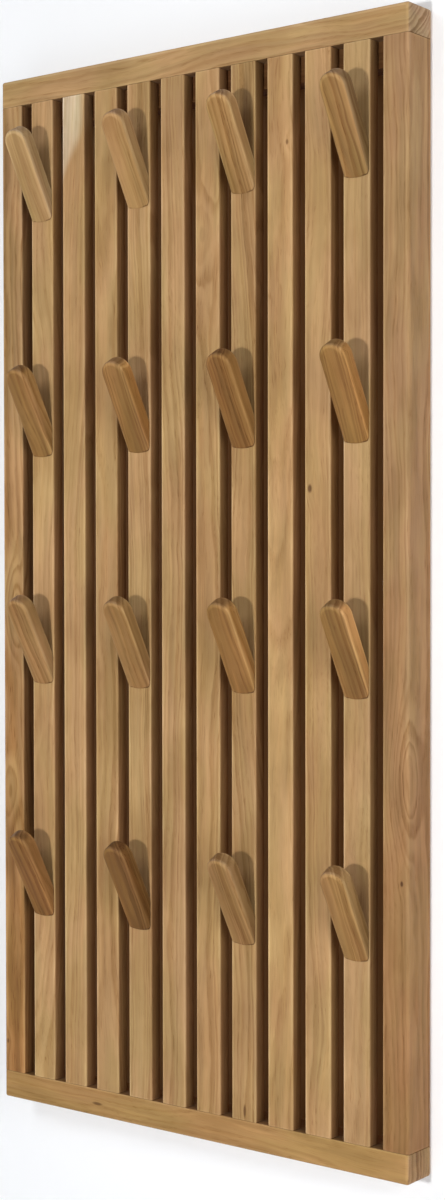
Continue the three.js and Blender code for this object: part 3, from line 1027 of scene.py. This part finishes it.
def add_frame():
    for node, (outer_side, angle, figure, foot_tone, tone) in STILE_OAK.items():
        middle, size = node_box(node)
        material = oak(f"oak_{node}", tone, cut_from(angle, STILE_PITH), figure,
                       knots_of(STILE_KNOTS[node], middle, size.y), foot=(foot_tone, size.z / 2),
                       painted_shade_faces=((0, -sign_of(outer_side)),), front=-size.y / 2)
        mesh = stile_mesh(node, outer_side)
        stand_for(node, mesh, "oak", material, Matrix.Translation(middle))
    for node, (joint_side, angle, tone) in RAIL_OAK.items():
        middle, size = node_box(node)
        knots = [((down, -size.y / 2, along), *rest) for down, along, *rest in RAIL_KNOTS.get(node, ())]
        material = oak(f"oak_{node}", tone, cut_from(angle, RAIL_PITH), knots=knots,
                       painted_shade_faces=((0, sign_of(joint_side)),), front=-size.y / 2, end_rings=RAIL_END_RINGS)
        mesh = rail_mesh(node, joint_side)
        stand_for(node, mesh, "oak", material, Matrix.Translation(middle) @ LEVEL)
    node = "hanging_batten"
    middle, size = node_box(node)
    material = oak(f"oak_{node}", BATTEN_OAK, cut_from(BATTEN_ANGLE, BATTEN_PITH),
                   painted_shade_faces=(FRONT, *BOTH_SIDES), front=-size.y)
    stand_for(node, batten_mesh(node), "oak", material, Matrix.Translation(middle) @ LEVEL)


def add_slats():
    for index, (value, warmth, angle) in enumerate(SLAT_CUTS, 1):
        node = f"slat_{index}"
        middle, size = node_box(node)
        knots = knots_of(SLAT_KNOTS.get(index, ()), middle, size.y)
        sapwood = None
        if index == SAPWOOD_SLAT:
            sapwood = [FOOT_LEVEL + height - middle.z for height in SAPWOOD_HEIGHTS]
        tone = toned(SLAT_OAK, value, warmth)
        cut = cut_from(angle, draw.uniform(*SLAT_PITH))
        material = oak(f"oak_{node}", tone, cut, draw.uniform(*SLAT_FIGURE), knots, sapwood,
                       painted_shade_faces=BOTH_SIDES, front=-size.y / 2)
        stand_for(node, slat_mesh(index), "oak", material, Matrix.Translation(middle))


def add_pegs():
    width = node_box("peg_row1_col1")[1].x
    shape = peg_mesh(width / 2)
    for row, row_tones_and_side_light in enumerate(PEG_TONES_AND_SIDE_LIGHT, 1):
        for column, (shade, painted_side_light) in enumerate(row_tones_and_side_light, 1):
            node = f"peg_row{row}_col{column}"
            low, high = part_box(node)
            heel = Vector(((low.x + high.x) / 2, high.y, low.z))
            tone, figure = PEG_SHADES[shade]
            tone = toned(tone, draw.uniform(*PEG_LIGHTNESS), draw.uniform(*PEG_WARMTH))
            cut = cut_from(draw.uniform(*PEG_ANGLES), draw.uniform(*PEG_PITH))
            material = oak(f"oak_{node}", tone, cut, figure, painted_side_light=painted_side_light)
            matrix = Matrix.Translation(heel) @ Matrix.Rotation(PEG_TILT, 4, "X")
            stand_for(node, shape.copy(), "oak", material, matrix)
    bpy.data.meshes.remove(shape)


def add_steel():
    material = steel("plated_steel")

    def add_steel_piece(node, mesh):
        low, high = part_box(node)
        back = Vector(((low.x + high.x) / 2, high.y, (low.z + high.z) / 2))
        stand_for(node, mesh, "steel", material, Matrix.Translation(back))

    for plate in PLATES:
        node = f"hanger_plate_{plate}"
        add_steel_piece(node, plate_mesh(node))
    shapes = {}
    for node in sorted(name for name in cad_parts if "_screw_" in name):
        low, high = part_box(node)
        kind = HANGER_SCREW if node.startswith("hanger") else WOOD_SCREW
        family = node.split("_screw_")[0]
        if family not in shapes:
            shapes[family] = screw_mesh(f"{family}_screw", high.y - low.y, (high.z - low.z) / 2, kind)
        add_steel_piece(node, shapes[family].copy())
    for shape in shapes.values():
        bpy.data.meshes.remove(shape)


add_frame()
add_slats()
add_pegs()
add_steel()


# Camera, stage and light

def add_camera():
    camera = bpy.data.objects.new("camera", bpy.data.cameras.new("camera"))
    camera.data.sensor_width = SENSOR_MM
    camera.data.lens = LENS_MM
    aim = Matrix.Rotation(CAMERA_AZIMUTH, 4, "Z") @ Matrix.Rotation(math.pi / 2 + CAMERA_ELEVATION, 4, "X")
    camera.matrix_world = Matrix.Translation(CAMERA_PLACE) @ aim @ Matrix.Rotation(CAMERA_ROLL, 4, "Z")
    bpy.context.scene.collection.objects.link(camera)
    bpy.context.scene.camera = camera


STAGE_WHITE = (0.92, 0.93, 0.95, 1)
# The wall behind the rack is painted shade: a dark colour for the shade it lies in
STAGE_PAINTED_SHADE = (0.25, 0.17, 0.105, 1)
STAGE_TOP_UP = 0.06
SPECKLES_PER_METRE = 400
PLASTER_RELIEF = (0.1 * MM, 0.1)
WALL_GAP = 0.5 * MM
WALL_REACH = 2.4
WALL_TOP = 2.6
HIDDEN_MARGIN = 4 * MM
FLOOR_DROP = 0.9
FLOOR_DEPTH = 3.2


def stage_material(name, color, top_up, one_sided=False):
    """Plaster that the camera sees a little lighter than it is lit, by the top-up. One-sided, it is clear
    from behind, and lets the light behind it through to the rack's back."""
    material, tree = node_material(name)
    speckle = spots(tree, add(tree, "TexCoord")["Object"], SPECKLES_PER_METRE, 2.0)
    bump = relief(tree, speckle, *PLASTER_RELIEF)
    surface = add(tree, "BsdfDiffuse", {"Color": color, "Normal": bump})[0]
    if top_up:
        seen = add(tree, "LightPath")["Is Camera Ray"]
        glow = add(tree, "Emission", {"Strength": times(tree, seen, top_up)})[0]
        surface = add(tree, "AddShader", {0: surface, 1: glow})[0]
    if one_sided:
        from_behind = add(tree, "NewGeometry")["Backfacing"]
        clear = calc(tree, "MAXIMUM", from_behind, add(tree, "LightPath")["Is Shadow Ray"])
        surface = add(tree, "MixShader", {0: clear, 1: surface, 2: add(tree, "BsdfTransparent")[0]})[0]
    add(tree, "OutputMaterial", {"Surface": surface})
    return material


def stage_mesh(name, corners, faces, materials):
    """A flat stage object whose faces take the materials in turn, and then the last."""
    mesh = bpy.data.meshes.new(name)
    mesh.from_pydata(corners, [], faces)
    for material in materials:
        mesh.materials.append(material)
    for index, face in enumerate(mesh.polygons):
        face.material_index = min(index, len(materials) - 1)
    stage = bpy.data.objects.new(name, mesh)
    bpy.context.scene.collection.objects.link(stage)


def corners_between(low_u, low_v, high_u, high_v):
    return [(low_u, low_v), (high_u, low_v), (high_u, high_v), (low_u, high_v)]


def add_stage():
    """The wall and the floor. Behind the rack the wall is painted shade, dark as it looks between the slats.
    """
    low, high = cad_box
    floor_level = FOOT_LEVEL - FLOOR_DROP
    inner = corners_between(low.x + HIDDEN_MARGIN, low.z + HIDDEN_MARGIN,
                            high.x - HIDDEN_MARGIN, high.z - HIDDEN_MARGIN)
    outer = corners_between(-WALL_REACH, floor_level, WALL_REACH, WALL_TOP)
    corners = [(x, WALL_GAP, z) for x, z in inner + outer]
    outer_faces = [(side, 4 + side, 4 + (side + 1) % 4, (side + 1) % 4) for side in range(4)]
    stage_mesh("wall", corners, [(0, 1, 2, 3), *outer_faces],
               [stage_material("shaded_plaster", STAGE_PAINTED_SHADE, 0, True),
                stage_material("wall_plaster", STAGE_WHITE, STAGE_TOP_UP, True)])
    floor = corners_between(-WALL_REACH, -FLOOR_DEPTH, WALL_REACH, WALL_GAP)
    stage_mesh("floor", [(x, y, floor_level) for x, y in floor], [(0, 1, 2, 3)],
               [stage_material("floor_plaster", STAGE_WHITE, STAGE_TOP_UP)])


# Area lamps: share of the light on a surface, colour, place, the surface's facing, shape, width, height
AREA_LAMPS = {
    "key": (0.52, (1, 0.995, 0.985), (0.26, -2.6, -0.58), (0, -1, 0), "ELLIPSE", 0.2, 0.2),
    "fill": (0.20, (0.96, 0.98, 1), (-0.6, -2.0, 0.6), (0, -1, 0), "RECTANGLE", 0.8, 0.8),
    "side": (0.44, (1, 1, 1), (2.3, -1.2, -0.4), (1, 0, 0), "RECTANGLE", 1.2, 1.8),
}
# The power with which a lamp at a metre shows a surface that faces it in its own colour
FULL_POWER = math.pi ** 2
SUN_STRENGTH = 2.4
SUN_COLOR = (1, 0.98, 0.95)
SUN_PLACE = (-0.85, 1, 0)
SUN_ANGLE = 0.02
WORLD_WHITE = (1, 1, 1, 1)
AMBIENT_COLOR = (0.97, 0.98, 1, 1)
AMBIENT = 0.06


def lamp(name, kind, color, place, **settings):
    """A lamp that aims at the rack's middle."""
    light = bpy.data.lights.new(name, kind)
    light.color = color
    for key, value in settings.items():
        setattr(light, key, value)
    holder = bpy.data.objects.new(name, light)
    bpy.context.scene.collection.objects.link(holder)
    aim = (RACK_MIDDLE - Vector(place)).to_track_quat("-Z", "Y").to_matrix().to_4x4()
    holder.matrix_world = Matrix.Translation(place) @ aim


def add_light():
    """A small key lamp in front for the pegs' shadows up their slats, a soft fill from above for the shadow
    under the rack, a tall lamp for the faces to the right, and a sun behind the wall for the back."""
    for name, (share, color, place, facing, shape, width, height) in AREA_LAMPS.items():
        way = Vector(place) - RACK_MIDDLE
        power = share * FULL_POWER * way.length_squared / way.normalized().dot(Vector(facing))
        lamp(name, "AREA", color, place, energy=power, shape=shape, size=width, size_y=height)
    lamp("back", "SUN", SUN_COLOR, RACK_MIDDLE + Vector(SUN_PLACE), energy=SUN_STRENGTH, angle=SUN_ANGLE)


def add_world():
    """White to the camera, in reflections and through glass, and a faint light on everything."""
    world = bpy.data.worlds.new("studio")
    bpy.context.scene.world = world
    world.use_nodes = True
    tree = world.node_tree
    tree.nodes.clear()
    path = add(tree, "LightPath")
    seen = calc(tree, "MAXIMUM", path["Is Camera Ray"],
                calc(tree, "MAXIMUM", path["Is Glossy Ray"], path["Is Transmission Ray"]))
    white = add(tree, "Background", {"Color": WORLD_WHITE})[0]
    soft = add(tree, "Background", {"Color": AMBIENT_COLOR, "Strength": AMBIENT})[0]
    add(tree, "OutputWorld", {"Surface": add(tree, "MixShader", {0: seen, 1: soft, 2: white})[0]})


add_camera()
add_stage()
add_light()
add_world()
bpy.context.scene.view_settings.view_transform = "Standard"
